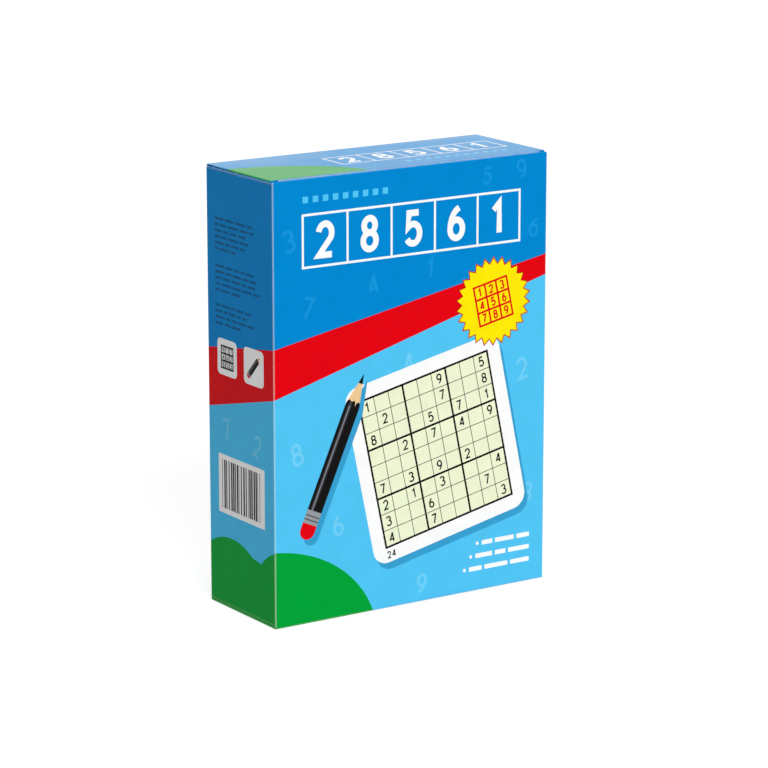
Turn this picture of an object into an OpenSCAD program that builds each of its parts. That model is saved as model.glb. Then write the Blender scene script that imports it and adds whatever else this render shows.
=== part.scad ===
// Boxed sudoku game: a tuck-top carton with square boards, a folded leaflet and a dry-wipe marker inside.
// Millimetres. +Z is up, the front of the carton faces -Y, and the origin is the middle of the underside.

/* [Carton] */
// Outside width of the carton, left to right
carton_w = 124; // [100:1:160]
// Outside height of the carton
carton_h = 170; // [145:1:240]
// Thickness of the carton's folded sheet
sheet_t = 0.6; // [0.4:0.05:0.8]
// Gap between a rounded crease and the edge of the panel that it folds on
crease_gap = 0.05; // [0.03:0.01:0.1]
// Distance of the closing flaps' cut edges from the sides of the carton
flap_side_gap = 0.2; // [0.1:0.05:0.6]
// Distance of the dust flaps' ends from the front and back panels
dust_end_gap = 0.4; // [0.2:0.1:1]

/* [Top closure] */
// Gap between the shut lid and the dust flaps under it
lid_gap = 0.1; // [0.05:0.05:0.3]
// Distance of the front panel's cut edge below the top of the lid
front_drop = 0.5; // [0.1:0.1:1.5]
// Length of the tuck flap below the lid
tuck_depth = 12; // [8:0.5:16]
// Angle by which the tuck flap leans into the carton
tuck_lean = 12; // [8:1:16]
// Gap between the tuck flap's crease and the front panel
tuck_gap = 0.3; // [0.2:0.05:0.6]
// Distance of the tuck flap's ends from the ends of the lid
tuck_inset = 3; // [2:0.5:8]
// Corner radius of the tuck flap
tuck_corner_r = 6; // [2:0.5:7]
// Length of the dust flaps, measured in from the side panels
dust_len = 34; // [20:1:42]
// Angle of the dust flaps' slanted rear edges
dust_taper = 32; // [30:1:36]
// Distance between the dust flaps' front edges and the tuck flap's reach
dust_tuck_gap = 1; // [0.5:0.1:3]

/* [Bottom closure] */
// Distance of the inner bottom flap's free edge from the front panel
inner_flap_gap = 0.6; // [0.3:0.1:20]
// Length of the bottom dust flaps, measured in from the side panels
bottom_dust_len = 34; // [20:1:42]
// Narrowing of the bottom dust flaps at each end of their free edge
bottom_dust_slant = 4; // [1:0.5:8]

/* [Side seam] */
// Width of the glue flap
glue_flap_w = 14; // [8:1:25]
// Distance of the glue flap's ends from the ends of the carton
glue_flap_inset = 8; // [5:1:20]
// Height of the slant at each end of the glue flap
glue_flap_slant = 5; // [2:0.5:10]

/* [Boards] */
// Number of boards in the stack
board_count = 16; // [8:1:16]
// Thickness of one board
board_thick = 1.4; // [0.8:0.1:2]
// Air between neighbouring boards
board_gap = 0.1; // [0.05:0.05:0.3]
// Room between a board's edge and the side panel
board_side_gap = 2.4; // [1:0.1:5]
// Corner radius of a board
board_corner_r = 8; // [2:0.5:15]
// Room between the stack and the glue flap behind it
stack_gap = 0.2; // [0.1:0.1:2]
// Height at which the contents stand above the bottom flaps
rest_gap = 0.1; // [0.05:0.05:0.3]

/* [Leaflet] */
// Room between the leaflet's edges and the side panels
leaflet_side_gap = 8.9; // [1:0.1:25]
// Room between the leaflet's top and the dust flaps
leaflet_top_gap = 18.8; // [2:0.1:60]
// Thickness of the leaflet's paper
paper_t = 0.15; // [0.1:0.05:0.3]
// Air between the leaflet's two leaves
leaf_gap = 0.4; // [0.2:0.1:1]
// Room between the leaflet and the first board
leaflet_gap = 0.4; // [0.2:0.1:2]

/* [Marker] */
// Depth of the bay in front of the boards that holds the leaflet and the marker
marker_bay = 21; // [18:0.5:40]
// Room between the marker and the leaflet
marker_gap = 0.8; // [0.3:0.1:3]
// Room between the marker and the left panel
marker_wall_gap = 1; // [0.3:0.1:8]
// Outside diameter of the barrel
barrel_od = 9.6; // [8:0.1:11]
// Wall of the barrel
barrel_wall = 0.8; // [0.5:0.1:1.2]
// Length of the barrel
barrel_len = 84; // [50:1:90]
// Thickness of the end plug's flange
plug_flange = 2.5; // [1:0.1:5]
// Length of the end plug inside the barrel
plug_spigot = 6; // [3:0.5:12]
// Radial play of the plug, the nib and the nib section in their seats
fit_gap = 0.05; // [0.02:0.01:0.1]
// Length of the nib section's straight part
section_len = 12; // [8:0.5:14]
// Length of the nib section inside the barrel
section_spigot = 8; // [4:0.5:12]
// Length of the nib section's cone
cone_len = 6; // [3:0.5:8]
// Wall of the cone's small end, round the nib
cone_wall = 0.75; // [0.4:0.05:1]
// Diameter of the nib
nib_od = 3; // [2:0.1:3.4]
// Length of the nib that stands out of the cone
nib_out = 5; // [3:0.5:7]
// Room between the ink reservoir and the barrel
reservoir_gap = 0.7; // [0.2:0.1:1.5]

/* [Marker cap] */
// Gap between the cap's mouth and the end of the barrel
cap_seat_gap = 0.1; // [0.05:0.05:0.3]
// Wall of the cap's skirt, which is flush with the barrel
cap_wall = 1; // [0.6:0.1:1.4]
// Radial play of the cap on the nib section
cap_play = 0.1; // [0.05:0.05:0.2]
// Free length inside the cap beyond the nib
cap_air = 1.5; // [0.5:0.1:2]
// Length of the cap's round skirt
skirt_len = 10; // [6:0.5:14]
// Height of the collar at the cap's mouth
collar_len = 1.6; // [1:0.1:3]
// Distance that the collar stands out of the skirt
collar_proud = 0.4; // [0.2:0.1:0.6]
// Width of the cap's six-sided head, across its flats
head_af = 12.5; // [11.5:0.1:14]
// Length of the cap's head
head_len = 25.4; // [22:0.2:32]
// Height of the chamfers at the ends of the head
head_chamfer = 1.8; // [0.5:0.1:3]
// Length of the eraser above the head
eraser_out = 6; // [3:0.5:10]
// Depth of the eraser's seat in the head
eraser_seat = 2; // [1:0.1:3]
// Margin of the head round the eraser
eraser_margin = 1; // [0.6:0.1:2]
// Radial play of the eraser in its seat
eraser_play = 0.05; // [0.02:0.01:0.1]
// Width of the clip
clip_w = 3.6; // [2:0.1:5]
// Thickness of the clip
clip_t = 1.2; // [0.8:0.1:2]
// Gap between the clip and the barrel
clip_gap = 1.1; // [0.8:0.1:1.4]
// Length of the clip beside the head
clip_root = 9; // [4:0.5:14]
// Length of the clip past the cap's mouth
clip_reach = 5; // [0:0.5:12]
// Diameter of the bead on the clip's free end
clip_bead = 1.2; // [0.8:0.1:1.6]

/* [Hidden] */
$fn = 64;
// Extra length of cutting shapes, so that they pass right through
overrun = 1;

// Sizes inside the carton
inner_w = carton_w - 2 * sheet_t;
board_side = inner_w - 2 * board_side_gap;
board_pitch = board_thick + board_gap;
stack_d = board_count * board_pitch;
leaflet_d = 2 * paper_t + leaf_gap;
leaflet_w = inner_w - 2 * leaflet_side_gap;

// The carton's depth follows from what stands in it: the seam, the stack and the marker's bay
carton_d = 3 * sheet_t + stack_gap + stack_d + marker_bay;
inner_d = carton_d - 2 * sheet_t;
back_in_y = carton_d / 2 - sheet_t;
front_in_y = -back_in_y;
side_in_x = inner_w / 2;
crease_r = sheet_t / 2;
flap_w = carton_w - 2 * flap_side_gap;

// Levels of the bottom flaps, one sheet above the other, and of the floor that they make
outer_flap_z = 0;
inner_flap_z = outer_flap_z + sheet_t;
bottom_dust_z = inner_flap_z + sheet_t;
floor_z = bottom_dust_z + sheet_t;
contents_z = floor_z + rest_gap;

// The inner bottom flap reaches from the back panel's crease nearly to the front panel
inner_flap_depth = carton_d / 2 - crease_r - front_in_y - inner_flap_gap;

// Levels and hinge lines of the top flaps
lid_z = carton_h - sheet_t;
lid_axis_z = carton_h - crease_r;
lid_axis_y = carton_d / 2 - crease_r;
tuck_axis_y = front_in_y + tuck_gap + crease_r;
lid_front_y = tuck_axis_y + crease_r * (1 / cos(tuck_lean) + tan(tuck_lean)) + crease_gap;
tuck_reach = tuck_gap + sheet_t + tuck_depth * sin(tuck_lean);
dust_z = lid_z - lid_gap - sheet_t;
dust_axis_x = carton_w / 2 - crease_r;
dust_hinge_len = inner_d - 2 * dust_end_gap;
dust_relief = tuck_reach + dust_tuck_gap - dust_end_gap;

// Ends of the wall panels, each clear of the crease that it meets
front_bottom_z = inner_flap_z + crease_gap;
front_top_z = carton_h - front_drop;
back_bottom_z = bottom_dust_z + crease_gap;
side_bottom_z = floor_z + crease_gap;
back_top_z = lid_z - crease_gap;
side_top_z = dust_z - crease_gap;

// Places of the contents, and the leaflet's height
leaflet_h = dust_z - contents_z - leaflet_top_gap;
stack_front_y = back_in_y - sheet_t - stack_gap - stack_d;
leaflet_front_y = stack_front_y - leaflet_gap - leaflet_d;
head_ac = head_af / cos(30);
marker_x = -side_in_x + marker_wall_gap + head_af / 2;
marker_y = leaflet_front_y - marker_gap - head_ac / 2;

// Lengths along the marker, from its rear end
barrel_id = barrel_od - 2 * barrel_wall;
seat_od = barrel_id - 2 * fit_gap;
reservoir_od = barrel_id - 2 * reservoir_gap;
nib_bore_d = nib_od + 2 * fit_gap;
cone_tip_od = nib_bore_d + 2 * cone_wall;
cap_bore_d = barrel_od - 2 * cap_wall;
section_od = cap_bore_d - 2 * cap_play;
barrel_front_z = plug_flange + barrel_len;
section_rear_z = barrel_front_z - section_spigot;
cone_z = barrel_front_z + section_len;
cone_end_z = cone_z + cone_len;
nib_tip_z = cone_end_z + nib_out;
reservoir_z = plug_flange + plug_spigot + fit_gap;
cap_z = barrel_front_z + cap_seat_gap;
head_z = cap_z + skirt_len;
head_top_z = head_z + head_len;
eraser_z = head_top_z - eraser_seat;
eraser_af = head_af - 2 * eraser_margin;
clip_x = barrel_od / 2 + clip_gap;

function two_digits(n) = n < 10 ? str("0", n) : str(n);
function board_name(n) = str("sudoku_board_", two_digits(n));

CARTON_NODES = [
    "front_panel", "back_panel", "left_panel", "right_panel", "glue_flap",
    "top_lid", "lid_tuck_flap", "dust_flap_left", "dust_flap_right",
    "bottom_outer_flap", "bottom_inner_flap", "bottom_dust_flap_left", "bottom_dust_flap_right"
];
BOARD_NODES = [for (n = [1:board_count]) board_name(n)];
MARKER_NODES = [
    "marker_barrel", "marker_end_plug", "marker_reservoir", "marker_nib_section", "marker_nib",
    "marker_cap", "marker_eraser"
];

// A rectangle round the origin with four rounded corners
module rounded_rectangle(width, height, radius) {
    square([width - 2 * radius, height], center = true);
    square([width, height - 2 * radius], center = true);
    for (x = [-1, 1], y = [-1, 1])
        translate([x * (width / 2 - radius), y * (height / 2 - radius)]) circle(radius);
}

// A quarter of a disc round the origin, in the quadrant of -X and -Y
module quarter_disc(radius) {
    intersection() {
        circle(radius);
        translate([-radius, -radius]) square(radius);
    }
}

// Plan of a wall panel with its two rounded corner creases, for the panel at the front
module creased_wall_plan() {
    translate([-side_in_x, -carton_d / 2]) square([inner_w, sheet_t]);
    for (side = [0, 1])
        mirror([side, 0]) translate([-side_in_x, front_in_y]) quarter_disc(sheet_t);
}

// A rounded crease along X, round the origin
module crease_along_x(length) {
    rotate([0, 90, 0]) cylinder(r = crease_r, h = length, center = true);
}

// A rounded crease along Y, round the origin
module crease_along_y(length) {
    rotate([90, 0, 0]) cylinder(r = crease_r, h = length, center = true);
}

// Carton walls

module front_panel() {
    color("deepskyblue")
        translate([0, 0, front_bottom_z]) linear_extrude(front_top_z - front_bottom_z) creased_wall_plan();
}

module back_panel() {
    color("deepskyblue")
        translate([0, 0, back_bottom_z]) linear_extrude(back_top_z - back_bottom_z)
            mirror([0, 1]) creased_wall_plan();
}

module side_panel() {
    translate([-carton_w / 2, front_in_y, side_bottom_z]) cube([sheet_t, inner_d, side_top_z - side_bottom_z]);
}

module left_panel() {
    color("steelblue") side_panel();
}

module right_panel() {
    color("steelblue") mirror([1, 0, 0]) side_panel();
}

module glue_flap() {
    low = glue_flap_inset;
    high = carton_h - glue_flap_inset;
    color("gainsboro")
        translate([side_in_x - glue_flap_w, back_in_y, 0]) rotate([90, 0, 0]) linear_extrude(sheet_t)
            polygon([
                [0, low + glue_flap_slant], [glue_flap_w, low],
                [glue_flap_w, high], [0, high - glue_flap_slant]
            ]);
}

// Top closure

module top_lid() {
    color("lightskyblue") {
        translate([-flap_w / 2, lid_front_y, lid_z]) cube([flap_w, lid_axis_y - lid_front_y, sheet_t]);
        translate([0, lid_axis_y, lid_axis_z]) crease_along_x(flap_w);
    }
}

// Outline of the tuck flap: its crease lies along X at the origin, and the flap runs along -Y
module tuck_outline(width) {
    translate([-width / 2, tuck_corner_r - tuck_depth]) square([width, tuck_depth - tuck_corner_r]);
    translate([tuck_corner_r - width / 2, -tuck_depth]) square([width - 2 * tuck_corner_r, tuck_depth]);
    for (side = [-1, 1])
        translate([side * (width / 2 - tuck_corner_r), tuck_corner_r - tuck_depth]) circle(tuck_corner_r);
}

module lid_tuck_flap() {
    width = flap_w - 2 * tuck_inset;
    color("lightskyblue")
        translate([0, tuck_axis_y, lid_axis_z]) {
            crease_along_x(width);
            rotate([90 + tuck_lean, 0, 0]) linear_extrude(sheet_t, center = true) tuck_outline(width);
        }
}

// A dust flap hinged on the left panel. Its rear edge slants, so that it can swing while the lid opens,
// and its front edge leaves room for the tuck flap.
module dust_flap() {
    rear = dust_hinge_len / 2;
    translate([-dust_axis_x, 0, dust_z]) {
        linear_extrude(sheet_t)
            polygon([
                [0, -rear], [tuck_inset, dust_relief - rear], [dust_len, dust_relief - rear],
                [dust_len, rear - dust_len * tan(dust_taper)], [0, rear]
            ]);
        translate([0, 0, crease_r]) crease_along_y(dust_hinge_len);
    }
}

module dust_flap_left() {
    color("white") dust_flap();
}

module dust_flap_right() {
    color("white") mirror([1, 0, 0]) dust_flap();
}

// Bottom closure

module bottom_outer_flap() {
    color("deepskyblue") {
        translate([-flap_w / 2, crease_r - carton_d / 2, outer_flap_z])
            cube([flap_w, carton_d - crease_r - flap_side_gap, sheet_t]);
        translate([0, crease_r - carton_d / 2, outer_flap_z + crease_r]) crease_along_x(flap_w);
    }
}

module bottom_inner_flap() {
    color("gainsboro") {
        translate([-flap_w / 2, lid_axis_y - inner_flap_depth, inner_flap_z])
            cube([flap_w, inner_flap_depth, sheet_t]);
        translate([0, lid_axis_y, inner_flap_z + crease_r]) crease_along_x(flap_w);
    }
}

module bottom_dust_flap() {
    end = dust_hinge_len / 2;
    translate([-dust_axis_x, 0, bottom_dust_z]) {
        linear_extrude(sheet_t)
            polygon([
                [0, -end], [bottom_dust_len, bottom_dust_slant - end],
                [bottom_dust_len, end - bottom_dust_slant], [0, end]
            ]);
        translate([0, 0, crease_r]) crease_along_y(dust_hinge_len);
    }
}

module bottom_dust_flap_left() {
    color("gainsboro") bottom_dust_flap();
}

module bottom_dust_flap_right() {
    color("gainsboro") mirror([1, 0, 0]) bottom_dust_flap();
}

// Contents

// Board n of the stack, counted from the front
module sudoku_board(n) {
    middle_y = stack_front_y + (n - 0.5) * board_pitch;
    color("ivory")
        translate([0, middle_y + board_thick / 2, contents_z + board_side / 2])
            rotate([90, 0, 0]) linear_extrude(board_thick)
                rounded_rectangle(board_side, board_side, board_corner_r);
}

// One sheet folded once, with its round fold at the left and its two leaves open at the right
module rules_leaflet() {
    fold_r = leaflet_d / 2;
    leaf_w = leaflet_w - fold_r;
    color("white")
        translate([fold_r - leaflet_w / 2, leaflet_front_y + fold_r, contents_z]) linear_extrude(leaflet_h)
            difference() {
                union() {
                    circle(fold_r);
                    translate([0, -fold_r]) square([leaf_w, leaflet_d]);
                }
                circle(leaf_gap / 2);
                translate([0, -leaf_gap / 2]) square([leaf_w + overrun, leaf_gap]);
            }
}

// Stands a piece of the marker in its place in the bay
module in_marker_bay() {
    translate([marker_x, marker_y, contents_z]) children();
}

module marker_barrel() {
    color("aliceblue")
        in_marker_bay() translate([0, 0, plug_flange]) difference() {
            cylinder(d = barrel_od, h = barrel_len);
            translate([0, 0, -overrun]) cylinder(d = barrel_id, h = barrel_len + 2 * overrun);
        }
}

module marker_end_plug() {
    color("black")
        in_marker_bay() {
            cylinder(d = barrel_od, h = plug_flange);
            cylinder(d = seat_od, h = plug_flange + plug_spigot);
        }
}

module marker_reservoir() {
    color("dimgray")
        in_marker_bay() translate([0, 0, reservoir_z])
            cylinder(d = reservoir_od, h = section_rear_z - fit_gap - reservoir_z);
}

module marker_nib_section() {
    color("lightsteelblue")
        in_marker_bay() difference() {
            union() {
                translate([0, 0, section_rear_z]) cylinder(d = seat_od, h = section_spigot);
                translate([0, 0, barrel_front_z]) cylinder(d = section_od, h = section_len);
                translate([0, 0, cone_z]) cylinder(d1 = section_od, d2 = cone_tip_od, h = cone_len);
            }
            translate([0, 0, section_rear_z - overrun])
                cylinder(d = nib_bore_d, h = cone_end_z - section_rear_z + 2 * overrun);
        }
}

module marker_nib() {
    nib_r = nib_od / 2;
    color("black")
        in_marker_bay() {
            translate([0, 0, section_rear_z]) cylinder(d = nib_od, h = nib_tip_z - nib_r - section_rear_z);
            translate([0, 0, nib_tip_z - nib_r]) sphere(nib_r);
        }
}

// A six-sided prism with a flat towards +X, chamfered round both ends
module chamfered_hexagon(across_flats, length, chamfer) {
    across_corners = across_flats / cos(30);
    intersection() {
        rotate([0, 0, 30]) cylinder(d = across_corners, h = length, $fn = 6);
        union() {
            cylinder(d1 = across_corners - 2 * chamfer, d2 = across_corners, h = chamfer);
            translate([0, 0, chamfer]) cylinder(d = across_corners, h = length - 2 * chamfer);
            translate([0, 0, length - chamfer])
                cylinder(d1 = across_corners, d2 = across_corners - 2 * chamfer, h = chamfer);
        }
    }
}

module marker_cap() {
    clip_low_z = cap_z - clip_reach;
    clip_high_z = head_z + clip_root;
    clip_root_x = head_af / 2 - clip_t;
    color("black")
        in_marker_bay() {
            difference() {
                union() {
                    translate([0, 0, cap_z]) cylinder(d = barrel_od, h = skirt_len);
                    translate([0, 0, cap_z]) cylinder(d = barrel_od + 2 * collar_proud, h = collar_len);
                    translate([0, 0, head_z]) chamfered_hexagon(head_af, head_len, head_chamfer);
                }
                translate([0, 0, cap_z - overrun])
                    cylinder(d = cap_bore_d, h = nib_tip_z + cap_air - cap_z + overrun);
                translate([0, 0, eraser_z]) rotate([0, 0, 30])
                    cylinder(d = (eraser_af + 2 * eraser_play) / cos(30), h = eraser_seat + overrun, $fn = 6);
            }
            translate([clip_x, -clip_w / 2, clip_low_z]) cube([clip_t, clip_w, clip_high_z - clip_low_z]);
            translate([clip_root_x, -clip_w / 2, head_z + head_chamfer])
                cube([clip_x + clip_t - clip_root_x, clip_w, clip_root - head_chamfer]);
            translate([clip_x, 0, clip_low_z + clip_bead / 2]) rotate([90, 0, 0])
                cylinder(d = clip_bead, h = clip_w, center = true);
        }
}

module marker_eraser() {
    color("dimgray")
        in_marker_bay() translate([0, 0, eraser_z]) rotate([0, 0, 30])
            cylinder(d = eraser_af / cos(30), h = eraser_seat + eraser_out, $fn = 6);
}

front_panel();
back_panel();
left_panel();
right_panel();
glue_flap();
top_lid();
lid_tuck_flap();
dust_flap_left();
dust_flap_right();
bottom_outer_flap();
bottom_inner_flap();
bottom_dust_flap_left();
bottom_dust_flap_right();
for (n = [1:board_count])
    sudoku_board(n);
rules_leaflet();
marker_barrel();
marker_end_plug();
marker_reservoir();
marker_nib_section();
marker_nib();
marker_cap();
marker_eraser();
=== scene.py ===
"""Looks of the boxed sudoku game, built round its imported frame.

Blender's lengths are metres. Print is laid out in millimetres on each face as it is seen from outside:
u runs to the right and v runs up.
"""

import copy
import math
import random
from collections import namedtuple

import bmesh
import bpy
import numpy as np
from mathutils import Matrix, Vector
from mathutils.geometry import delaunay_2d_cdt


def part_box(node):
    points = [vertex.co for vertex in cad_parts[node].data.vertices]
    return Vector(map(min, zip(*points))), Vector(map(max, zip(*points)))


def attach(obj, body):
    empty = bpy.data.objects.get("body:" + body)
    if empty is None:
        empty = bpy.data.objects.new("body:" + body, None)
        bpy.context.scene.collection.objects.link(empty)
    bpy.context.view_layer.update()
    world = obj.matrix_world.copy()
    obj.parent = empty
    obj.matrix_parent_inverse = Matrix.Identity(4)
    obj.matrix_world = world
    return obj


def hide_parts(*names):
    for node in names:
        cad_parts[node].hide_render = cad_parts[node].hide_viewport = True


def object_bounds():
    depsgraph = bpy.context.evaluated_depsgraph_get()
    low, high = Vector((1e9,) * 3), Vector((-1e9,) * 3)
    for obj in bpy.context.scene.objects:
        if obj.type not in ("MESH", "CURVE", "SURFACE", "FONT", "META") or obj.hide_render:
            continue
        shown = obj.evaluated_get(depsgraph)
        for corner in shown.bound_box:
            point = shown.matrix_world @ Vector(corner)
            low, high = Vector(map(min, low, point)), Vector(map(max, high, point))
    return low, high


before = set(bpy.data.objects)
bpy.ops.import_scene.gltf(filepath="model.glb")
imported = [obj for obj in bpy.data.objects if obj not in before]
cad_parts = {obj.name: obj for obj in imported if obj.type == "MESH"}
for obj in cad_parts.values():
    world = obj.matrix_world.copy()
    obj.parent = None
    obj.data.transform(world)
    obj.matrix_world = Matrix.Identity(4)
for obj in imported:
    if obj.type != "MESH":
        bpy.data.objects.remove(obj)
cad_low, cad_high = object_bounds()


# Sizes that the frame gives, in millimetres

MM = 0.001


def box_mm(node):
    """The lowest and highest corner of a CAD node."""
    low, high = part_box(node)
    return low / MM, high / MM


front_low, front_high = box_mm("front_panel")
_, back_high = box_mm("back_panel")
lid_low, lid_high = box_mm("top_lid")
leaflet_low, leaflet_high = box_mm("rules_leaflet")
marker_low, _ = box_mm("marker_barrel")

HALF_W = front_high.x
HALF_D = back_high.y
SHEET = front_high.y - front_low.y
CREASE_R = SHEET / 2
CARTON_W = 2 * HALF_W
CARTON_D = 2 * HALF_D
CARTON_H = lid_high.z


# Inks and other colours

def linear(red, green, blue):
    """A colour given as 0 to 255 screen values, in the linear values that shaders take."""
    shares = [value / 255 for value in (red, green, blue)]
    return [s / 12.92 if s <= 0.04045 else ((s + 0.055) / 1.055) ** 2.4 for s in shares] + [1.0]


INKS = {name: linear(*values) for name, values in {
    "deep_blue": (1, 135, 208),
    # The lid's two blues are lighter than the front's deep blues, as painted light on the lit top face
    "lid_blue": (1, 146, 211),
    "faint_lid": (24, 158, 219),
    "light_blue": (81, 196, 243),
    "shadow_blue": (56, 158, 206),
    "faint_deep": (22, 148, 216),
    "faint_light": (112, 207, 246),
    "navy": (4, 62, 104),
    "small_print": (4, 98, 150),
    "red": (227, 5, 18),
    "dark_red": (190, 28, 24),
    "green": (1, 162, 57),
    "yellow": (253, 232, 8),
    "white": (250, 251, 250),
    "card_white": (242, 243, 240),
    "paper_white": (239, 239, 235),
    "cell": (237, 243, 209),
    "black": (20, 19, 20),
    "dark_grey": (62, 63, 68),
    "grey": (150, 154, 160),
    "wood": (235, 199, 146),
}.items()}
BARE_BOARD = linear(238, 236, 229)
BOARD_REVERSE = linear(209, 203, 191)
BOARD_SPECKS = linear(170, 161, 146)
CORE_GREY = linear(168, 162, 152)
CORE_SPECKS = linear(120, 112, 102)
PAPER_SPECKS = linear(224, 224, 218)
WHITE_PLASTIC = linear(240, 244, 247)
GREY_PLASTIC = linear(176, 180, 184)
BLACK_PLASTIC = linear(26, 26, 28)
NIB_BLACK = linear(28, 28, 32)
INK_FIBRE = linear(40, 44, 60)
FELT_GREY = linear(58, 58, 62)
WHITE = (1, 1, 1, 1)


# Vector art, in millimetres and degrees

ARC_STEP = 15
FINE_ARC_STEP = 5
SAME_POINT = 1e-6
MITRE_LIMIT = 0.45
BOX = 3
GRID = BOX * BOX
PUZZLE_PAIRS = 14
ALL_PAIRS = (GRID * GRID + 1) // 2

# Shares of a digit's height
DIGIT_WIDTH_SHARE = 0.58
DIGIT_GAP_SHARE = 0.16
FAINT_STROKE = 0.14
NUMBER_STROKE = 0.16

# A digit's height as a share of its cell, and its stroke as a share of its height
TITLE_DIGIT = (0.72, 0.175)
COLUMN_DIGIT = (0.62, 0.19)
SMALL_GRID_DIGIT = (0.7, 0.18)
PUZZLE_DIGIT = (0.62, 0.15)

# Lines of text as shares of their block's width, and words in heights of a line
LINE_SHARES = (0.86, 1)
LAST_LINE_SHARE = 0.6
WORD_LENGTHS = (2.5, 7.5)
SHORTEST_ROOM = 3

# Where the parts of a pencil begin, as shares of its length
FERRULE_AT, PAINT_AT, CONE_AT, LEAD_AT = 0.09, 0.17, 0.8, 0.94
# Rings as shares of the ferrule's length, and the rest as shares of the pencil's width
RINGS_AT = (0.3, 0.6)
RING_WIDTH = 0.06
# Ink, lower and upper edge of each shine along the paint
PENCIL_SHINES = (("dark_grey", 0.06, 0.3), ("grey", 0.16, 0.21))
# Ink, middle, reach and half height of each scallop at the paint's end
PENCIL_SCALLOPS = [("black", k / 3, 0.35, 1 / 6) for k in (-1, 0, 1)]
PENCIL_SCALLOPS += [("dark_grey", 1 / 5.5, 0.3, 1 / 8.5)]
SCALLOP_OVERLAP = 0.01


def arc(u, v, ru, rv, start, end, step=ARC_STEP):
    """Points along an elliptical arc, in degrees."""
    steps = max(2, math.ceil(abs(end - start) / step))
    angles = [math.radians(start + (end - start) * k / steps) for k in range(steps + 1)]
    return [(u + ru * math.cos(a), v + rv * math.sin(a)) for a in angles]


def ring(u, v, ru, rv):
    """A closed ellipse, with its first point repeated at its end."""
    return arc(u, v, ru, rv, 0, 360)


def rounded(u0, v0, u1, v1, radius):
    """A rectangle with round corners."""
    left, foot, right, top = u0 + radius, v0 + radius, u1 - radius, v1 - radius
    middles = ((right, foot, -90), (right, top, 0), (left, top, 90), (left, foot, 180))
    return [p for u, v, start in middles for p in arc(u, v, radius, radius, start, start + 90)]


# The middle lines of each digit's strokes, in shares of the digit's width and height
DIGIT_STROKE_SHARES = {
    0: [ring(0.5, 0.5, 0.5, 0.5)],
    1: [[(0.1, 0.76), (0.55, 1), (0.55, 0)]],
    2: [arc(0.5, 0.7, 0.5, 0.3, 170, -35) + [(0, 0), (1, 0)]],
    3: [arc(0.45, 0.765, 0.48, 0.235, 155, -90), arc(0.45, 0.265, 0.55, 0.265, 90, -155)],
    4: [[(0.76, 0), (0.76, 1)], [(0.76, 1), (0, 0.26), (1, 0.26)]],
    5: [[(0.92, 1), (0.16, 1)] + arc(0.47, 0.32, 0.53, 0.32, 138, -150)],
    6: [ring(0.5, 0.3, 0.5, 0.3), arc(1, 0.3, 1, 0.72, 106, 180)],
    7: [[(0, 1), (1, 1), (0.32, 0)]],
    8: [ring(0.5, 0.765, 0.43, 0.235), ring(0.5, 0.27, 0.5, 0.27)],
    9: [ring(0.5, 0.7, 0.5, 0.3), arc(0, 0.7, 1, 0.72, -74, 0)],
}


def stroke(points, width):
    """The loops that outline a line of that width. A line that ends where it starts gives two loops."""
    line = [Vector(p) for p in points]
    closed = (line[0] - line[-1]).length < SAME_POINT
    ways = [(end - start).normalized() for start, end in zip(line, line[1:])]
    ways_in, ways_out = (ways[-1:] + ways[:-1], ways) if closed else (ways[:1] + ways, ways + ways[-1:])
    left, right = [], []
    for point, way_in, way_out in zip(line, ways_in, ways_out):
        normal = Vector((-way_in.y - way_out.y, way_in.x + way_out.x)).normalized()
        reach = width / 2 / max(MITRE_LIMIT, normal.dot(Vector((-way_in.y, way_in.x))))
        left.append(point + normal * reach)
        right.append(point - normal * reach)
    return [left, right] if closed else [left + right[::-1]]


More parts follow.
